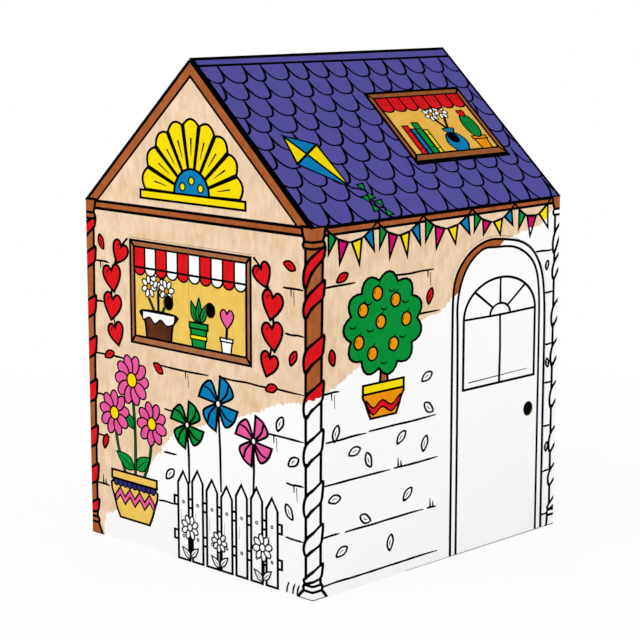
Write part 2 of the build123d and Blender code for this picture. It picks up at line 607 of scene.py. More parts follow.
def triangulate(domain, cuts, drawing, bends):
    """Points and triangles of a face, and each triangle's paint."""
    layers = [layer for layer in drawing.layers if overlap(layer[0], domain)]
    outlines = [domain, *cuts, *drawing.washes, *(layer[0] for layer in layers)]
    first_wash = 1 + len(cuts)
    first_layer = first_wash + len(drawing.washes)
    points, faces, edges = [], [], []
    for outline in outlines:
        faces.append(list(range(len(points), len(points) + len(outline))))
        points.extend(outline)
    for ends in bends:
        edges.append((len(points), len(points) + 1))
        points.extend(ends)
    made = delaunay_2d_cdt(points, edges, faces, INSIDE, MERGE)
    triangles, colours = [], []
    for corners, owners in zip(made[2], made[5]):
        if 0 not in owners or any(0 < owner < first_wash for owner in owners):
            continue
        washed = any(first_wash <= owner < first_layer for owner in owners)
        top = max(owners)
        pair = layers[top - first_layer][1] if top >= first_layer else drawing.ground
        triangles.append(tuple(corners))
        colours.append(pair[0] if washed else pair[1])
    return made[0], triangles, colours


def boundary(triangles):
    """The edges that only one triangle has, run anticlockwise."""
    edges = {(t[i], t[(i + 1) % 3]) for t in triangles for i in range(3)}
    return [(a, b) for a, b in edges if (b, a) not in edges]


def loops_of(edges):
    """Edges joined into closed loops."""
    after = dict(sorted(edges))
    loops = []
    while after:
        start = min(after)
        loop = [start]
        while (following := after.pop(loop[-1])) != start:
            loop.append(following)
        loops.append(loop)
    return loops


def hollow_triangles(points, rim, loops):
    """Triangles that fill the largest loop and leave the others open."""
    place = {corner: i for i, corner in enumerate(rim)}
    outlines = []
    for loop in sorted(loops, key=lambda loop: -abs(signed_area([points[corner] for corner in loop]))):
        outlines.append([place[corner] for corner in (loop[::-1] if outlines else loop)])
    made = delaunay_2d_cdt([points[corner] for corner in rim], [], outlines, INSIDE, MERGE)
    inside = [corners for corners, owners in zip(made[2], made[5]) if owners == [0]]
    return [[rim[made[3][corner][0]] for corner in corners] for corners in inside]


def board(name, face, domain, cuts, drawing, body, node):
    """A closed piece of board: the printed face, the kraft face behind it and the cut edges between them."""
    domain = cleaned(domain)
    cuts = [cleaned(cut) for cut in cuts]
    points, triangles, colours = triangulate(domain, cuts, drawing, face.bends(4 * HALF_D))
    edges = boundary(triangles)
    rim = sorted({corner for edge in edges for corner in edge})
    used = sorted({corner for triangle in triangles for corner in triangle})
    number = {corner: i for i, corner in enumerate(used)}
    vertices = [face.place(points[corner], 0.0) for corner in used]
    flutes = [points[corner][0] for corner in used]
    depths = [0.0] * len(used)
    faces = [tuple(number[corner] for corner in triangle) for triangle in triangles]
    levels = [number]
    for depth in (LINER, 1 - LINER, 1.0):
        levels.append({corner: len(vertices) + i for i, corner in enumerate(rim)})
        vertices.extend(face.place(points[corner], depth) for corner in rim)
        flutes.extend(points[corner][0] for corner in rim)
        depths.extend([depth] * len(rim))
    for upper, lower, paint in zip(levels, levels[1:], drawing.edge):
        faces.extend((upper[b], upper[a], lower[a], lower[b]) for a, b in edges)
        colours.extend([paint] * len(edges))
    for a, b, c in hollow_triangles(points, rim, loops_of(edges)):
        faces.append(tuple(levels[-1][corner] for corner in (c, b, a)))
        colours.append("kraft")
    finished(name, vertices, faces, colours, {"flute": flutes, "depth": depths}, body, node)


def finished(name, vertices, faces, colours, attributes, body, node):
    """The mesh as a piece that rides on a body and stands for a node."""
    mesh = bpy.data.meshes.new(name)
    mesh.from_pydata(vertices, [], faces)
    slots = sorted(set(colours))
    for paint in slots:
        mesh.materials.append(paints[paint])
    mesh.polygons.foreach_set("material_index", [slots.index(paint) for paint in colours])
    for key, values in attributes.items():
        mesh.attributes.new(key, "FLOAT", "POINT").data.foreach_set("value", values)
    mesh.update()
    piece = bpy.data.objects.new(name, mesh)
    bpy.context.collection.objects.link(piece)
    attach(piece, body)
    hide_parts(node)


# The panels of the folded sheet, each seen from outside

RIGHTWARDS, LEFTWARDS = (1, 0, 0), (-1, 0, 0)
BACKWARDS, FORWARDS = (0, 1, 0), (0, -1, 0)
UP = (0, 0, 1)
UP_RIGHT_SLOPE = (-math.cos(PITCH), 0, math.sin(PITCH))
UP_LEFT_SLOPE = (math.cos(PITCH), 0, math.sin(PITCH))

# Each fold of a panel: if it ends the panel across (0) or up (1), on which side, where, and half of its turn
corner_turn = math.pi / 4
eave_turn = (math.pi / 2 - PITCH) / 2
depth_folds = [(0, -1, HALF_D, corner_turn), (0, 1, HALF_D, corner_turn)]
width_folds = [(0, -1, HALF_W, corner_turn), (0, 1, HALF_W, corner_turn)]
seam_fold = (0, 1, HALF_W - BOARD, corner_turn)
wall_eave_fold = (1, 1, EAVE, eave_turn)
roof_eave_fold = (1, -1, 0, eave_turn)
ridge_fold = (1, 1, SLOPE - LEFT_RIDGE / math.cos(PITCH), PITCH)

front_face = Face((0, -HALF_D, 0), RIGHTWARDS, UP, width_folds)
right_face = Face((HALF_W, 0, 0), BACKWARDS, UP, [*depth_folds, wall_eave_fold])
rear_face = Face((0, HALF_D, 0), LEFTWARDS, UP, [width_folds[0], seam_fold])
left_face = Face((-HALF_W, 0, 0), FORWARDS, UP, [depth_folds[1], wall_eave_fold])
right_slope = Face((HALF_W, 0, EAVE), BACKWARDS, UP_RIGHT_SLOPE, [roof_eave_fold])
left_slope = Face((-HALF_W, 0, EAVE), FORWARDS, UP_LEFT_SLOPE, [roof_eave_fold, ridge_fold])
door_face = Face((HALF_W, 0, 0), BACKWARDS, UP)
shutter_face = Face((0, -HALF_D, 0), RIGHTWARDS, UP)
skylight_face = Face((HALF_W, 0, EAVE), BACKWARDS, UP_RIGHT_SLOPE)

# The two laps inside, glued or tucked behind the next panel
ridge_lap_origin = (-LEFT_RIDGE, 0, RIDGE - LEFT_RIDGE * math.tan(PITCH))
ridge_lap_face = Face(ridge_lap_origin, BACKWARDS, UP_RIGHT_SLOPE, [(1, 1, 0, PITCH)])
corner_lap_face = Face((BOARD - HALF_W, 0, 0), FORWARDS, UP, [depth_folds[0]])

front = Drawing()
right = Drawing()
rear = Drawing()
left = Drawing()
right_roof = Drawing("purple", "purple", BLACK_EDGE)
left_roof = Drawing("purple", "purple", BLACK_EDGE)
ridge_tuck = Drawing("paper", "paper")
plain = Drawing("kraft", "kraft")


# Print that all the walls share

def plank_lines(drawing, lines):
    """Seams between planks, each from one place to another at a height."""
    stroke, waver = 45, 1.2
    for start, end, height in lines:
        count = max(3, round(abs(end - start) / stroke))
        points = [
            Vector((start + (end - start) * i / count, height + chance.uniform(-waver, waver)))
            for i in range(count + 1)
        ]
        drawing.line(smooth(points, steps=3), FINE, 0.8, 0.5)


def grain_marks(drawing, hanging, standing=()):
    """Two short strokes of wood grain that hang from a seam or stand on it."""
    hanging_strokes = (([(0, 0), (1, -18)], FINE, 0.7, 0.4), ([(9, -6), (11, -38)], FINE * 0.9, 0.4, 0.3))
    standing_strokes = (([(0, 24), (1, 3)], FINE, 0.4, 0.9), ([(10, 15), (11, 3)], FINE, 0.4, 0.9))
    for places, strokes in ((hanging, hanging_strokes), (standing, standing_strokes)):
        for place in places:
            for points, *pen in strokes:
                drawing.line(moved(points, place), *pen)


# Each stripe of a post: its height at the post's right side, how far it drops to the left side, and how tall
# it is at the right and at the left
post_stripes = (
    (819, 44, 28, 50), (742, 44, 40, 42), (617, 36, 46, 50), (512, 36, 46, 50),
    (399, 36, 50, 50), (278, 36, 48, 48), (177, 36, 46, 38), (83, 32, 33, 14),
)


def corner_post(left_drawing, left_end, right_drawing, right_end, foot_lift=0.0, neck_lift=0.0, flare=26.0):
    """A striped post round a corner fold, with its capital, rings and a foot that flares to the left."""
    left_wide, right_wide = 21.0, 32.0  # how far the post reaches to the two sides of its fold
    bulge = 7.0  # of a stripe past the post's sides
    foot, neck = 21.0 + foot_lift, EAVE - 46
    capital_low, capital_high = neck + 15, EAVE + 3

    def right_side(height):
        """How far the post reaches to the right, which is less towards its foot."""
        return right_wide * (0.76 + 0.24 * (height / neck) ** 2)

    def both(outline, paint):
        """A shape that runs round the fold, drawn on both walls."""
        for drawing, fold in ((left_drawing, left_end), (right_drawing, -right_end)):
            drawing.shape([Vector((fold + p[0], p[1])) for p in outline], paint, "paper", BOLD)

    def turned(one_side, other_side):
        """A moulding of the post between two smooth sides."""
        both(smooth(one_side, steps=4) + smooth(other_side, steps=4), "brown")

    def ring(low, high, left_reach, right_reach):
        middle, rounding = (low + high) / 2, 4
        turned(
            [(right_reach - rounding, low), (right_reach, middle), (right_reach - rounding, high)],
            [(rounding - left_reach, high), (-left_reach, middle), (rounding - left_reach, low)],
        )

    right_line = [(right_side(height), height) for height in (foot, 300, 560, 700, neck)]
    both([(-left_wide, foot), *right_line, (-left_wide, neck)], "brown")
    for height, slant, right_tall, left_tall in post_stripes:
        top = height + foot_lift + (neck_lift - foot_lift) * height / neck
        reach = right_side(height)
        right_low, left_low = top - right_tall, top - slant - left_tall
        upper = [(-left_wide, top - slant), (0, top - slant * 0.46), (reach - 6, top - 5)]
        round_right = [(reach + bulge, top), (reach + bulge - 1, top - right_tall * 0.5)]
        lower = [(reach, right_low), (0, right_low - (right_low - left_low) * 0.4), (-left_wide, left_low)]
        round_left = (-left_wide - bulge, top - slant - left_tall * 0.55)
        both(smooth([*upper, *round_right, *lower, round_left], closed=True, steps=4), "red")
    ring(neck, capital_low, left_wide + 8, right_wide + 6)
    turned(
        [(right_wide, capital_low), (right_wide + 4, neck + 26), (right_wide + 9, capital_high)],
        [(-left_wide - 12, capital_high), (-left_wide - 8, neck + 28), (-left_wide - 2, capital_low)],
    )
    turned(
        [(-left_wide - flare, -1), (-left_wide - flare + 5, 7), (-left_wide - 7, foot)],
        [(right_wide - 4, foot), (right_wide + 8, 7), (right_wide + 13, -1)],
    )
    ring(foot - 1, foot + 13, left_wide + 9, right_wide - 1)


BELT = 18.5  # height of the boards under the gables and the eaves


def eave_board(drawing, end):
    """The brown board under the eave of a side wall, drawn a little askew."""
    start, end = -end - OVER, end + OVER
    low, high = EAVE - BELT, EAVE - 1.5
    drawing.shape([(start, low - 1), (end, low + 3.5), (end, high), (start, high)], "brown", "paper", BOLD)


def gable_boards(drawing):
    """The belt under a gable and the two boards along its slopes, with a black border at their edge."""
    rise = math.tan(PITCH)
    reach = HALF_W + 30
    past_edge, border, inside = -20, 6, 37  # how deep under the gable's edge each line lies

    def chevron(drop):
        top = RIDGE - GABLE_DEPTH - drop
        return [(-reach, top - reach * rise), (0, top), (reach, top - reach * rise)]

    outer = chevron(past_edge)
    drawing.shape([*outer, *reversed(chevron(inside))], "brown", "paper", 5.5)
    drawing.fill([*outer, *reversed(chevron(border))], "ink")
    drawing.shape(box(-reach, EAVE - BELT, reach, EAVE), "brown", "paper", 7.4)


def scallops(drawing, top, shift):
    """Rounded shingles in staggered rows that widen down the slope, under a plain band along the ridge."""
    band, border = 28.0, 10.0
    drops = (60, 58, 54, 51, 54, 57, 60, 52, 68)  # how far each row hangs below the one above it
    first_wide, widening = 70.0, 1.2
    steps = 14
    row_top = top - band
    for row, drop in enumerate(drops):
        wide = first_wide + widening * row
        row_start = -HALF_D + shift - (wide / 2 if row % 2 else wide)
        columns = math.ceil(2 * HALF_D / wide) + 3
        sides = [row_start + column * wide + chance.uniform(-6, 6) for column in range(columns)]
        for start, end in zip(sides, sides[1:]):
            middle, half = (start + end) / 2, (end - start) / 2
            deep = drop + chance.uniform(-3, 4)
            lean = chance.uniform(-4, 4)
            shell = []
            for i in range(steps + 1):
                angle = math.pi * i / steps
                c, s = math.cos(angle), math.sin(angle)
                across = -half * math.copysign(abs(c) ** 0.76, c)
                shell.append(Vector((middle + across + lean * s, row_top - 1 - deep * s ** 0.9)))
            drawing.line(shell, chance.uniform(4.7, 5.8), chance.uniform(0.5, 0.9), chance.uniform(0.4, 0.8))
        row_top -= drop
    far, low = HALF_D + OVER, top - band
    drawing.rule([(-far, low), (-150, low - 2), (160, low - 5), (far, low - 6)], 8.0)
    for edge in (-HALF_D, HALF_D):
        drawing.fill(box(edge - border, -OVER, edge + border, top + OVER), "ink")
    drawing.fill(box(-far, -OVER, far, 4.5), "ink")
    drawing.fill(box(-far, top - border, far, top + OVER), "ink")


# Small things to draw

def heart(middle, size, turn=0.0):
    """A heart's outline, as wide as its size."""
    half = smooth([(0, 0.26), (0.16, 0.46), (0.38, 0.44), (0.5, 0.2), (0.36, -0.14), (0, -0.52)], steps=4)
    return moved(half + mirrored(half)[1:-1], middle, turn, size)


def leaf(drawing, root, tip, wide, paint="green"):
    """A pointed leaf with its middle vein."""
    root, tip = Vector(root), Vector(tip)
    way = tip - root
    side = Vector((-way.y, way.x)).normalized() * (wide / 2)
    outline = smooth([root, root + way * 0.3 + side, root + way * 0.65 + side * 0.8, tip], steps=4)
    outline += smooth([tip, root + way * 0.65 - side * 0.8, root + way * 0.3 - side, root], steps=4)[1:-1]
    drawing.shape(outline, paint, pen=3.6)
    drawing.line([root + way * 0.12, root + way * 0.45, root + way * 0.75], 2.2, 0.8, 0.2)


def daisy(drawing, middle, radius, petals, paint, heart_paint, pen=SMALL, turn=0.0):
    """A flower seen from the front: petals round a button."""
    for i in range(petals):
        angle = turn + 360 * i / petals
        way = moved([(radius * 0.64, 0)], middle, angle)[0]
        drawing.shape(oval(way, radius * 0.4, radius * 0.26, angle, 20), paint, pen=pen)
    drawing.shape(oval(middle, radius * 0.3, steps=20), heart_paint, pen=pen)


def stem(drawing, points, width=8.0):
    """A green stem between two inked lines."""
    drawing.shape(pen_line(smooth(points), width - 3, 1, 1), "green", pen=TINY)


def pot(drawing, middle, low, wide, high, paint, pen=SMALL):
    """A flower pot with a rim."""
    foot_half, shoulder_half = wide * 0.34, wide * 0.44
    rim_low = high - high * 0.24
    body = [(-foot_half, 0), (foot_half, 0), (shoulder_half, rim_low), (-shoulder_half, rim_low)]
    drawing.shape(moved(body, (middle, low)), paint, pen=pen)
    drawing.shape(box(middle - wide / 2, low + rim_low, middle + wide / 2, low + high), paint, pen=pen)


def vessel(middle, low, sides, steps=4):
    """Outline of a round vessel, from its half widths at heights above its foot."""
    left_side = [(middle - half, low + height) for half, height in sides]
    right_side = [(middle + half, low + height) for half, height in reversed(sides)]
    return smooth(left_side + right_side, steps=steps)


def petals_blown(drawing, places, paint, size=1.0):
    """Small blown petals, each at a place and turned by an angle."""
    outline = smooth([(-19, -2), (-6, 9), (10, 8), (20, -1), (7, -10), (-8, -8)], closed=True, steps=3)
    vein = [(-8, -1), (0, 1), (8, 0)]
    for across, height, turn in places:
        drawing.shape(moved(outline, (across, height), turn, size), paint, pen=4.8)
        drawing.line(moved(vein, (across, height), turn, size), 2.6)


def pinwheel(drawing, middle, radius, paint, stick_end):
    """A paper windmill on a stick: four folded sails round a pin."""
    bow = ((middle[0] + stick_end[0]) / 2 + 2, (middle[1] + stick_end[1]) / 2)
    drawing.line([middle, bow, stick_end], 6.5, 0.8, 0.8)
    sail = smooth([(0.34, 0.98), (0.72, 0.68), (0.86, 0.2), (0.3, 0.02)], steps=4) + [Vector((0, 0))]
    crease = [(0, 0), (0.52, 0.3), (0.72, 0.68)]
    for quarter in range(4):
        turn = 90 * quarter + 12
        drawing.shape(moved(sail, middle, turn, radius), paint)
        drawing.line(smooth(moved(crease, middle, turn, radius), steps=4), FINE, 0.6, 0.4)
    drawing.shape(oval(middle, radius * 0.13, steps=18), "paper", pen=SMALL)


def framed_pane(drawing, outer, bar, sill_bar, frame_paint, pane_paint):
    """A mitred frame in an outer box, and the pane in it. Gives the pane's left, low, right and high."""
    pane = (outer[0] + bar, outer[1] + sill_bar, outer[2] - bar, outer[3] - bar)
    drawing.shape(box(*outer), frame_paint)
    for across, up in ((0, 1), (2, 1), (0, 3), (2, 3)):
        drawing.rule([(outer[across], outer[up]), (pane[across], pane[up])])
    drawing.shape(box(*pane), pane_paint)
    return pane


def hanging_strips(pane, count, drop, bow):
    """Strips with round ends that hang side by side from a pane's top: each one's start and outline."""
    top = pane[3]
    wide = (pane[2] - pane[0]) / count
    for i in range(count):
        start = pane[0] + i * wide
        round_end = arc((start + wide / 2, top - drop), wide / 2, bow, 180, 360, 8)
        yield start, [Vector((start, top)), *round_end, Vector((start + wide, top))]


# The front wall: planks, window, garlands, plants, pinwheels and a picket fence

def front_wash():
    far = 415
    edge = [
        (-352, 30), (-340, 62), (-296, 79), (-266, 97), (-208, 166), (-152, 233), (-114, 277), (-78, 313),
        (-38, 325), (30, 352), (95, 369), (205, 410), (300, 448), (379, 463), (far, 476),
    ]
    front.wash([(-far, -OVER), (-352, -OVER), *ragged(edge), (far, RIDGE + OVER), (-far, RIDGE + OVER)])


def fan_ornament():
    """A sunburst of petals over a half-round button, in the gable."""
    middle = (0, EAVE + 42)
    petals, radius, button = 9, 168.0, 62
    for i in range(petals):
        start, end = 180 * i / petals, 180 * (i + 1) / petals
        bow = arc((0, 0), radius, radius, start + 1, end - 1, 4)
        crown = moved([(radius * 1.07, 0)], (0, 0), (start + end) / 2)
        rim = smooth([bow[0], bow[1] * 1.05, crown[0], bow[3] * 1.05, bow[4]], steps=4)
        front.shape(moved([bow[0] * 0.3, *rim, bow[4] * 0.3], middle), "yellow")
        vein = moved([(radius * 0.55, 0), (radius * 0.8, 0)], middle, (start + end) / 2)
        front.line(vein, FINE, 0.3, 0.8)
    front.shape(moved(arc((0, 0), button, button, 0, 180, 20), middle), "blue")
    for dot in moved([(-32, 18), (0, 34), (32, 18)], middle):
        front.shape(oval(dot, 9.5, steps=18), "yellow", pen=TINY)
    front.shape(box(-186, middle[1] - 20, 186, middle[1]), "yellow")


def window_print():
    """A framed window with a striped awning, and plants on its sill."""
    edge, top_edge = 3.0, 7.0  # from the cut to the frame's outer line
    outer = (WINDOW_LEFT + edge, WINDOW_LOW + edge, WINDOW_RIGHT - edge, WINDOW_HIGH - top_edge)
    pane = framed_pane(front, outer, 15.0, 18.0, "umber", "gold")
    sill = pane[1]
    # A brown bowl of daisies, with white glaze
    for across, tall in ((-160, 128), (-126, 150), (-95, 124)):
        stem(front, [(across * 0.3 - 88, sill + 62), (across, sill + tall - 30)])
        daisy(front, (across, sill + tall), 27, 7, "paper", "orange", TINY, across)
    front.shape(vessel(-125, sill, [(45, 0), (51, 40), (63, 66)]), "chocolate")
    glaze = [(-186, 66), (-184, 44), (-160, 52), (-140, 38), (-118, 50), (-96, 38), (-70, 46), (-66, 66)]
    front.shape(smooth(moved(glaze, (0, sill)), steps=4), "paper", pen=SMALL)
    # A green pot of leaves, with a yellow band
    middle = 20
    pot(front, middle, sill, 66, 60, "green", 4.4)
    front.shape(box(middle - 29, sill + 20, middle + 29, sill + 30), "yellow", pen=TINY)
    for across, tall in ((-6, 112), (22, 122), (48, 108)):
        leaf(front, (middle + (across - middle) * 0.3, sill + 60), (across, sill + tall), 20)
    # A heart-shaped bloom in a white pot
    pot(front, 118, sill, 44, 36, "paper")
    stem(front, [(118, sill + 36), (120, sill + 66)], 7.5)
    front.shape(heart((120, sill + 82), 46), "pink", pen=SMALL)
    drop = 52
    for i, (_, strip) in enumerate(hanging_strips(pane, 10, drop, 17)):
        front.shape(strip, "red" if i % 2 == 0 else "paper", pen=4.4)
    seam = pane[3] - drop + 2
    front.rule([(pane[0], seam), (pane[2], seam)])


def garlands():
    """Strings of hearts that hang beside the window."""
    string = [(8, -6), (36, -34), (64, -90), (72, -152), (64, -214), (54, -252)]
    hearts = ((38, -44, 58, 24), (68, -110, 68, -10), (70, -182, 68, 8), (56, -250, 58, -16))
    glint = [(-0.3, 0.18), (-0.22, 0.3), (-0.1, 0.32)]
    for side, edge in ((-1, WINDOW_LEFT), (1, WINDOW_RIGHT)):
        front.line(smooth([(edge + side * p[0], WINDOW_HIGH + p[1]) for p in string]), FINE, 1, 0.5)
        for across, drop, size, turn in hearts:
            middle = (edge + side * across, WINDOW_HIGH + drop)
            front.shape(heart(middle, size, side * turn), "red")
            front.line(moved(glint, middle, side * turn, size), 3.0)


def potted_blooms():
    """Tall pink blooms in a banded pot, at the left of the front wall."""
    middle, low = -229, 62
    stems = (
        [(-262, 180), (-290, 250), (-302, 322)],
        [(-224, 180), (-222, 290), (-232, 418)],
        [(-190, 180), (-166, 240), (-158, 318)],
    )
    leaves = (((-226, 196), (-296, 232), 34), ((-222, 198), (-166, 236), 34), ((-226, 300), (-262, 344), 26))
    blooms = (((-302, 330), 56, 9, 10), ((-158, 324), 54, 9, 25), ((-232, 424), 62, 10, 0))
    for points in stems:
        stem(front, points, 9.5)
    for root, tip, wide in leaves:
        leaf(front, root, tip, wide)
    for head, radius, petals, turn in blooms:
        daisy(front, head, radius, petals, "pink", "yellow", turn=turn)
    front.shape(vessel(middle, low, [(57, 0), (75, 40), (79, 96)]), "gold")
    zigzag = [(middle - 75 + 19 * i, low + (58 if i % 2 else 36)) for i in range(9)]
    front.shape(zigzag + [(p[0], p[1] + 20) for p in reversed(zigzag)], "pink", pen=SMALL)
    for i in range(9):
        front.shape(oval((middle - 71 + 17.8 * i, low + 90), 9.5, steps=16), "navy", pen=3.0)
    front.shape(box(middle - 87, low + 98, middle + 87, low + 120), "gold")


def picket_fence():
    """Pointed pickets on two rails, with daisies and grass before them, still to be coloured in."""
    pickets, wide, gap = 7, 38.0, 14.0
    start = -62.0
    rails, rail_high = (52, 138), 22
    for rail in rails:
        front.shape(box(start - gap, rail, start + pickets * (wide + gap), rail + rail_high))
    for i in range(pickets):
        foot = start + i * (wide + gap)
        middle = foot + wide / 2
        tall = 196 + 10 * math.sin(1.7 * i)
        front.shape([(foot, 4), (foot + wide, 4), (foot + wide, tall), (middle, tall + 30), (foot, tall)])
        for rail in rails:
            front.shape(oval((middle, rail + rail_high / 2), 3.4, steps=10), pen=2.6)
        front.line([(foot + 10, 96), (foot + 11, 128)], HAIR, 0.4, 0.2)
    for across, tall, size in ((-20, 88, 30), (86, 74, 26), (236, 92, 32)):
        front.rule(smooth([(across, 2), (across + 4, tall * 0.5), (across, tall)]), PEN)
        leaf(front, (across + 2, 14), (across + 30, 40), 16, None)
        leaf(front, (across + 2, 10), (across - 28, 34), 16, None)
        daisy(front, (across, tall), size, 8, "paper", "paper", 3.6, across)
    for across in (318, 338, 352):
        front.line(smooth([(across, 4), (across + 2, 16), (across + 8, 30)], steps=3), SMALL, 1, 0.2)


def draw_front():
    front_wash()
    plank_lines(front, [
        (-370, -312, 712), (310, 374, 720), (-374, -336, 610), (316, 376, 614), (-372, -244, 476),
        (-120, 52, 477), (90, 376, 480), (-374, -334, 370), (-108, -52, 370), (250, 374, 370),
        (-376, -322, 264), (-112, -66, 263), (318, 374, 264), (-378, -326, 136), (-134, -76, 136),
        (316, 372, 134),
    ])
    grain_marks(front, [(334, 720), (-346, 712), (-30, 476), (276, 370), (342, 264)], [(-352, 136)])
    petals_blown(front, [
        (-318, 478, 20), (-130, 470, -35), (268, 480, 15), (340, 560, 60), (-342, 760, 110), (330, 772, -20),
        (-340, 250, 70),
    ], "red")
    petals_blown(front, [(296, 400, 60), (340, 318, 30), (326, 196, 120), (-92, 210, 40)], "paper")
    pinwheel(front, (-26, 344), 58, "green", (-20, 200))
    pinwheel(front, (86, 414), 66, "blue", (94, 200))
    pinwheel(front, (208, 344), 60, "pink", (206, 200))
    picket_fence()
    potted_blooms()
    window_print()
    garlands()
    gable_boards(front)
    fan_ornament()


# The right wall: planks, bunting, a small tree and the door

def right_wash():
    far = 470
    edge = [
        (-447, 470), (-410, 482), (-354, 497), (-294, 530), (-254, 562), (-195, 591), (-114, 606),
        (-26, 620), (4, 630), (24, 652), (34, 655), (75, 660), (100, 700), (150, 738), (195, 749),
        (232, 776), (274, 780), (311, 788), (361, 798), (398, 815), (414, 832),
    ]
    right.wash([(-far, 470), *ragged(edge), (far, 832), (far, EAVE + OVER), (-far, EAVE + OVER)])


def on_swag(start, end, share):
    """A place along the string of a swag."""
    top, sag = EAVE - 4, 38.0
    return Vector((start + (end - start) * share, top - sag * 4 * share * (1 - share)))


def bunting():
    """Swags of pennants along the eave. The last swag is a short one."""
    # Each pennant's paint, where it starts and ends along the swag, and where its tip is
    pennants = (
        ("green", 0.04, 0.2, 0.04), ("magenta", 0.24, 0.43, 0.26), ("yellow", 0.5, 0.7, 0.66),
        ("blue", 0.75, 0.92, 0.96),
    )
    last_pennants = (("green", 0.11, 0.29, 0.1), ("magenta", 0.34, 0.6, 0.43), ("yellow", 0.68, 0.93, 0.95))
    # Each swag's start and end along the wall, and how long its pennants are
    swags = (
        (-404, -238, pennants, (47, 55, 61, 48)), (-235, -79, pennants, (50, 60, 59, 51)),
        (-77, 100, pennants, (51, 53, 45, 41)), (101, 263, pennants, (43, 35, 39, 34)),
        (264, 404, last_pennants, (44, 55, 52)),
    )
    for start, end, row, lengths in swags:
        for (paint, first, last, tip_share), long in zip(row, lengths):
            a, b = on_swag(start, end, first), on_swag(start, end, last)
            tip = Vector((on_swag(start, end, tip_share).x, (a.y + b.y) / 2 - long))
            right.shape([a, b, tip], paint, "paper", 6.0)
        right.rule([on_swag(start, end, k / 12) for k in range(13)], 4.8)


def fruit_tree():
    """A round fruit tree in a painted pot."""
    middle, low, crown_middle = -212.0, 398.0, 618
    trunk = [(-15, 70), (-10, 110), (-16, 150), (18, 150), (12, 110), (16, 70)]
    right.shape(smooth(moved(trunk, (middle, low)), steps=4), "brown")
    lobes, steps, wide, high = 11, 6, 128.0, 116.0
    round_crown = arc((0, 0), wide, high, 0, 360, lobes * steps)[:-1]
    swells = [0.9 + 0.16 * math.sin(math.pi * (i % steps) / steps) for i in range(lobes * steps)]
    crown = [point * swell for point, swell in zip(round_crown, swells)]
    right.shape(moved(crown, (middle, crown_middle)), "green")
    fruits = ((-70, 40), (-22, 74), (40, 52), (78, 2), (-84, -34), (-10, 6), (34, -52), (-38, -66))
    for place in moved(fruits, (middle, crown_middle)):
        right.shape(oval(place, 16.5, steps=22), "orange", pen=4.4)
        right.line(moved([(2, 18), (9, 24)], place), 3.2, 1, 0.6)
        right.line(arc(place, 10, 10, 130, 190, 5), 2.0)
    tufts = ((-104, 12), (-46, -2), (2, 44), (66, -30), (76, 52), (-52, 62), (2, -84), (28, 84))
    for place in moved(tufts, (middle, crown_middle)):
        right.line(arc(place, 13, 11, 200, 330, 6), 3.6, 0.3, 0.3)
    right.shape(vessel(middle, low, [(44, 0), (60, 36), (62, 62)]), "orange")
    ribbon = [
        (-58, 44), (-34, 24), (-4, 40), (28, 24), (58, 44), (56, 30), (28, 8), (-4, 24), (-34, 8), (-55, 30),
    ]
    right.shape(smooth(moved(ribbon, (middle, low)), closed=True, steps=3), "red", pen=SMALL)
    right.shape(box(middle - 70, low + 60, middle + 70, low + 82), "yellow")


def door_print():
    """The door's frame of two lines, and a light with bars in its upper half."""
    outer = [
        (33, -OVER), (32, 400), (32, 560), (33, 640), (40, 688), (64, 727), (106, 759), (160, 776),
        (210, 775), (290, 761), (341, 731), (374, 679), (387, 609), (390, 500), (390, 300), (390, -OVER),
    ]
    inner = [
        (54, -OVER), (53, 400), (51, 560), (50, 630), (64, 684), (94, 727), (142, 756), (190, 757),
        (261, 751), (315, 727), (350, 689), (365, 625), (368, 500), (368, 300), (368, -OVER),
    ]
    right.shape(smooth(outer), "brown", "paper", 6.4)
    right.shape(smooth(inner), "paper", "paper", 6.0)
    low, shoulder, half, rise, hub = 414.0, 588.0, 138.0, 92, 0.28
    middle = Vector((DOOR_MIDDLE, shoulder))
    left_end, right_end = DOOR_MIDDLE - half, DOOR_MIDDLE + half
    right.shape([(left_end, low), (right_end, low), *arc(middle, half, rise, 0, 180, 28)], "paper", pen=6.4)
    right.line([(left_end + 22, low + 16), (right_end - 30, low + 20)], 5.6, 0.6, 0.3)
    right.rule([(left_end, shoulder), (DOOR_MIDDLE, shoulder - 2), (right_end, shoulder)], PEN)
    right.rule([(DOOR_MIDDLE, low), (DOOR_MIDDLE + 2, 500), (DOOR_MIDDLE, shoulder)], PEN)
    for end in arc(middle, half, rise, 45, 135, 2):
        right.rule([middle.lerp(end, hub), middle.lerp(end, 0.6), end], PEN)
    right.rule(arc(middle, half * hub, 27, 0, 180, 12), PEN)


def draw_right():
    right_wash()
    plank_lines(right, [
        (-412, -309, 725), (-215, -39, 727), (-203, -17, 626), (-416, -361, 480), (-404, -270, 366),
        (-260, -26, 370), (-408, -188, 264), (-174, -18, 264), (-418, -360, 143), (-340, -68, 143),
        (-54, -22, 142), (-412, -16, 28), (350, 420, 728), (388, 422, 620), (394, 422, 485), (394, 422, 384),
        (394, 422, 270), (394, 422, 150), (376, 424, 34),
    ])
    grain_marks(right, [(-60, 727), (-386, 480)], [(-160, 264), (-44, 142)])
    petals_blown(right, [(-352, 742, 20), (-52, 664, 70), (-384, 560, 100)], "red")
    petals_blown(right, [
        (-372, 382, 70), (-310, 330, 10), (-262, 300, 110), (-150, 336, 40), (-66, 306, 70), (-60, 470, 20),
        (-376, 228, 0), (-126, 192, 40), (-272, 160, 150), (-352, 98, 20), (-186, 84, 80), (-52, 392, 140),
    ], "paper")
    petals_blown(right, [(396, 690, 75), (405, 436, 100), (408, 214, 80)], "paper", 0.6)
    fruit_tree()
    door_print()
    # A thin grey strip along the foot of the wall: painted shade where it meets the floor
    right.fill(box(-130, -OVER, HALF_D + OVER, 2.4), "scuffed")
    eave_board(right, right_face.end(0, 1))
    bunting()


# The roof: scallops, a kite, and the skylight with its shelf

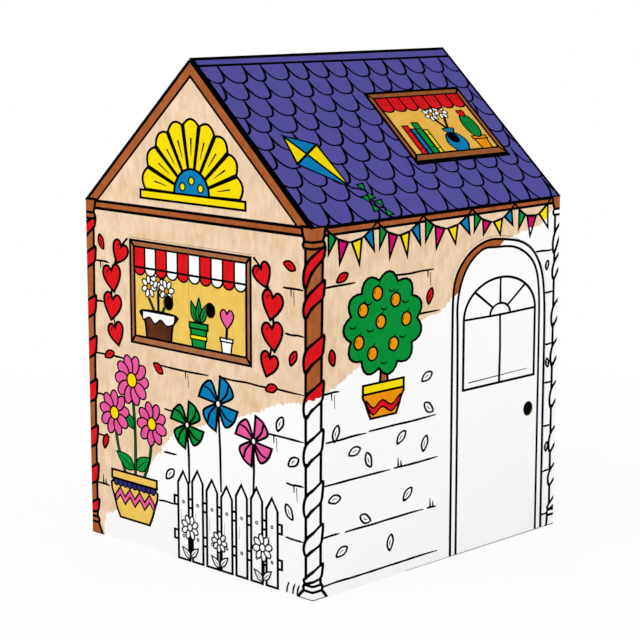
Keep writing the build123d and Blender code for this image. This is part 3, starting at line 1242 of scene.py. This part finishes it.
def kite():
    """A kite with a tail of bows, flying up the slope."""
    middle, turn = (-292, 196), 28
    cross, foot = (0, 24), (0, -104)
    corners = [(0, 96), (58, 24), foot, (-58, 24)]
    tail = smooth(moved([foot, (26, -136), (-4, -168), (22, -196)], middle, turn), steps=6)
    right_roof.line(tail, PEN, 1, 0.6)
    for share in (0.34, 0.62, 0.92):
        knot = tail[round(share * (len(tail) - 1))]
        for side in (-1, 1):
            bow = [(0, 0), (side * 24, 12), (side * 24, -12)]
            right_roof.shape(moved(bow, knot, turn + 70), "green", pen=SMALL)
    for a, b, paint in zip(corners, corners[1:] + corners[:1], ("blue", "yellow", "blue", "yellow")):
        right_roof.shape(moved([cross, a, b], middle, turn), paint)


def skylight_print():
    """A framed skylight: a scalloped blind over books, a vase and a cactus."""
    edge = 2.5  # from the cut to the frame's outer line
    # A black surround round the cut, 9 mm deep below it: partly the frame's printed outline, partly painted
    # shadow in the kerf and under the flap's lower edge
    right_roof.fill(box(LIGHT_LEFT - 3, LIGHT_LOW - 9, LIGHT_RIGHT + 2, LIGHT_HIGH + 3), "ink")
    outer = (LIGHT_LEFT + edge, LIGHT_LOW + edge, LIGHT_RIGHT - edge, LIGHT_HIGH - edge)
    pane = framed_pane(right_roof, outer, 17.0, 21.0, "walnut", "amber")
    sill = pane[1]
    # A row of books
    books = ((72, 20, 96, "red"), (94, 16, 84, "blue"), (112, 22, 104, "green"), (136, 15, 78, "yellow"))
    for start, wide, tall, paint in books:
        right_roof.shape(box(start, sill, start + wide, sill + tall), paint, pen=SMALL)
        for band in (0.2, 0.8):
            right_roof.rule([(start + 2, sill + tall * band), (start + wide - 2, sill + tall * band)], HAIR)
    # A round vase with two white blooms
    middle = 226
    for across, tall in ((204, 128), (246, 134)):
        stem(right_roof, [(middle, sill + 74), (across, sill + tall - 18)], 7.5)
        daisy(right_roof, (across, sill + tall), 24, 7, "paper", "orange", 3.2, across)
    vase_sides = [(20, 0), (36, 26), (26, 52), (12, 62), (20, 76)]
    right_roof.shape(vessel(middle, sill, vase_sides, 3), "blue", pen=SMALL)
    # A cactus with a bloom
    middle = 318
    pot(right_roof, middle, sill, 54, 44, "orange")
    right_roof.shape(oval((middle, sill + 80), 25, 40, steps=24), "green", pen=SMALL)
    for across in (middle - 12, middle, middle + 12):
        rib = [(across, sill + 56), (across + (across - middle) * 0.2, sill + 82), (across, sill + 106)]
        right_roof.line(rib, 2.2)
    right_roof.shape(heart((middle, sill + 122), 26), "red", pen=TINY)
    count, top = 7, pane[3]
    wide = (pane[2] - pane[0]) / count
    for start, strip in hanging_strips(pane, count, 34, 15):
        right_roof.shape(strip, "red", pen=4.4)
        for pleat in (start + wide * 0.3, start + wide * 0.7):
            right_roof.line([(pleat, top - 4), (pleat, top - 26)], HAIR)


def draw_roofs():
    scallops(right_roof, SLOPE, -3.0)
    kite()
    skylight_print()
    scallops(left_roof, left_slope.end(1, 1), 24.0)
    ridge_tuck.fill(box(-HALF_D - OVER, -14, HALF_D + OVER, 20), "ink")


# The two sides that the door and the window don't reach: planks and boards alone

def draw_hidden_walls():
    rows = (704, 602, 468, 362, 257, 131)
    joints = (-0.45, 0.1, 0.5)  # where a seam is broken, as a share of half the wall
    corner, half_gap = 34, 12  # what a seam leaves free at a corner fold and beside its joint
    for drawing, end in ((rear, HALF_W), (left, HALF_D)):
        lines = []
        for row, height in enumerate(rows):
            joint = joints[row % len(joints)] * end
            lines.append((-end + corner, joint - half_gap, height))
            lines.append((joint + half_gap, end - corner, height + 1))
        plank_lines(drawing, lines)
        grain_marks(drawing, [(0.35 * end, 704), (-0.6 * end, 468), (0.62 * end, 257)])
    far = 470
    edge = [
        (-420, 800), (-300, 770), (-160, 716), (-20, 640), (120, 548), (250, 430), (330, 300), (415, 130),
    ]
    below = [(415, -OVER), (far, -OVER)]
    left.wash([(-far, 800), *ragged(edge), *below, (far, EAVE + OVER), (-far, EAVE + OVER)])
    eave_board(left, HALF_D)
    gable_boards(rear)


def draw_posts():
    corner_post(front, front_face.end(0, 1), right, right_face.end(0, -1))
    corner_post(right, right_face.end(0, 1), rear, rear_face.end(0, -1), 8, -6, 14)
    corner_post(rear, rear_face.end(0, 1), left, HALF_D)
    corner_post(left, left_face.end(0, 1), front, front_face.end(0, -1), 9, 3)


draw_front()
draw_right()
draw_roofs()
draw_hidden_walls()
draw_posts()


# Building the house

def gable_outline(face):
    """A wall with its gable, from fold to fold, cut to lie under the roof panels."""
    left_end, right_end = -face.end(0, -1), face.end(0, 1)

    def under_roof(across):
        return RIDGE - BOARD / math.cos(PITCH) - abs(across) * math.tan(PITCH)

    tops = [(across, under_roof(across)) for across in (right_end, 0, left_end)]
    return [(left_end, 0), (right_end, 0), *tops]


def arched(crease_inset, edge_inset, low):
    """The door's outline, inset from its cut at the crease and at the free edge. Its arch is two quarter
    ellipses that meet at the crown."""
    left_end, right_end, top = DOOR_LEFT + crease_inset, DOOR_RIGHT - edge_inset, DOOR_TOP - edge_inset
    right_bow = arc((DOOR_CROWN, RIGHT_SPRING), right_end - DOOR_CROWN, top - RIGHT_SPRING, 0, 90)
    left_bow = arc((DOOR_CROWN, LEFT_SPRING), DOOR_CROWN - left_end, top - LEFT_SPRING, 90, 180)
    return [(left_end, low), (right_end, low), *right_bow, *left_bow[1:]]


doorway = arched(0, 0, -OVER)
window = box(WINDOW_LEFT, WINDOW_LOW, WINDOW_RIGHT, WINDOW_HIGH)
skylight = box(LIGHT_LEFT, LIGHT_LOW, LIGHT_RIGHT, LIGHT_HIGH)
side_end, wall_top = right_face.end(0, 1), right_face.end(1, 1)
roof_low, left_roof_top = -right_slope.end(1, -1), left_slope.end(1, 1)
lap_end, lap_top = HALF_D - BOARD - LAP_END_GAP, ridge_lap_face.end(1, 1)

# Each panel of the sheet: its face, its outline from fold to fold, what is cut out of it, and its print
panels = (
    ("front_wall", front_face, gable_outline(front_face), [window], front),
    ("rear_wall", rear_face, gable_outline(rear_face), [], rear),
    ("right_wall", right_face, box(-side_end, 0, side_end, wall_top), [doorway], right),
    ("left_wall", left_face, box(-HALF_D, 0, side_end, wall_top), [], left),
    ("right_roof", right_slope, box(-HALF_D, roof_low, HALF_D, SLOPE), [skylight], right_roof),
    ("left_roof", left_slope, box(-HALF_D, roof_low, HALF_D, left_roof_top), [], left_roof),
    ("ridge_lap", ridge_lap_face, box(-lap_end, -RIDGE_LAP, lap_end, lap_top), [], ridge_tuck),
    ("corner_lap", corner_lap_face, box(-side_end, 0, CORNER_LAP - HALF_D, EAVE - GABLE_DEPTH), [], plain),
)
for name, face, outline, cuts, drawing in panels:
    board(name, face, outline, cuts, drawing, "house", "house_sheet")

# Each flap: its body and its name, its face, its outline, the middle of its finger hole, and its print
door_outline = arched(CREASE_GAP, KERF, door_low.z)
left_outline = box(left_low.x, left_low.z, left_high.x, left_high.z)
right_outline = box(right_low.x, right_low.z, right_high.x, right_high.z)
light_outline = box(light_low.y, LIGHT_LOW + KERF, light_high.y, LIGHT_HIGH - CREASE_GAP)
flaps = (
    ("door", "printed_door", door_face, door_outline, DOOR_HOLE, right),
    ("left_shutter", "printed_left_shutter", shutter_face, left_outline, LEFT_HOLE, front),
    ("right_shutter", "printed_right_shutter", shutter_face, right_outline, RIGHT_HOLE, front),
    ("skylight_flap", "printed_skylight", skylight_face, light_outline, LIGHT_HOLE, right_roof),
)
for body, name, face, outline, hole, drawing in flaps:
    board(name, face, outline, [oval(hole, FINGER_HOLE, steps=48)], drawing, body, body)


# Floor, light and camera

WHITE = (1, 1, 1, 1)


def floor():
    """A pale floor, white to the camera except inside the house."""
    half = 30.0  # of its side, in metres
    least_white, whitening = 0.86, 0.06  # its glow at the middle, and how much more with each metre
    mesh = bpy.data.meshes.new("floor")
    corners = [(p.x, p.y, 0) for p in box(-half, -half, half, half)]
    mesh.from_pydata(corners, [], [range(4)])
    finish = Finish("pale_floor")
    finish.set(Base_Color=(0.86, 0.86, 0.86, 1.0), Roughness=0.9)
    place = finish.node("ShaderNodeTexCoord", output="Object")
    distance = finish.node("ShaderNodeVectorMath", {"operation": "LENGTH"}, {0: place}, output="Value")
    across, along = (finish.node("ShaderNodeSeparateXYZ", None, {0: place}, output=axis) for axis in "XY")
    inside = (abs(across) < HALF_W * MM) * (abs(along) < HALF_D * MM)
    white_share = (least_white + distance * whitening).least(1.0) * (1 - inside)
    glow = finish.node("ShaderNodeEmission", None, {"Color": WHITE, "Strength": 1.0})
    lit = Value(finish, finish.shader.outputs[0])
    mixed = finish.node("ShaderNodeMixShader", None, {0: finish.seen() * white_share, 1: lit, 2: glow})
    finish.feed(finish.tree.nodes["Material Output"].inputs["Surface"], mixed)
    mesh.materials.append(finish.material)
    made = bpy.data.objects.new("floor", mesh)
    bpy.context.collection.objects.link(made)


def lamp(name, place, power):
    """A square lamp that looks at the middle of the house."""
    light = bpy.data.lights.new(name, "AREA")
    light.size = 3.0
    light.energy = power
    made = bpy.data.objects.new(name, light)
    made.location = place
    made.rotation_euler = (Vector((0, 0, 0.6)) - Vector(place)).to_track_quat("-Z", "Y").to_euler()
    bpy.context.collection.objects.link(made)


def studio():
    """Soft light from all round and three lamps, with a background that is white to the camera."""
    world = bpy.data.worlds.new("studio")
    bpy.context.scene.world = world
    world.use_nodes = True
    world.node_tree.nodes.clear()
    sky = Nodes(world.node_tree)
    soft = sky.node("ShaderNodeBackground", None, {"Color": WHITE, "Strength": 0.5})
    white = sky.node("ShaderNodeBackground", None, {"Color": WHITE, "Strength": 1.0})
    mixed = sky.node("ShaderNodeMixShader", None, {0: sky.seen(), 1: soft, 2: white})
    sky.feed(sky.tree.nodes.new("ShaderNodeOutputWorld").inputs["Surface"], mixed)
    lamp("key", (-1.5, -5.0, 3.6), 154)
    lamp("fill", (5.0, 0.5, 3.0), 112)
    lamp("rear", (-4.4, 4.0, 3.2), 90)


def camera():
    """The photograph's view, from the front right corner and a little above the ridge."""
    view = bpy.data.cameras.new("camera")
    view.sensor_width = 36.0
    view.lens = 108.3
    made = bpy.data.objects.new("camera", view)
    made.location = (3.3953, -3.4452, 1.4244)
    made.rotation_euler = (math.radians(90 - 10.27), 0, math.radians(44.717))
    bpy.context.collection.objects.link(made)
    bpy.context.scene.camera = made


floor()
studio()
camera()
bpy.context.scene.view_settings.view_transform = "Standard"
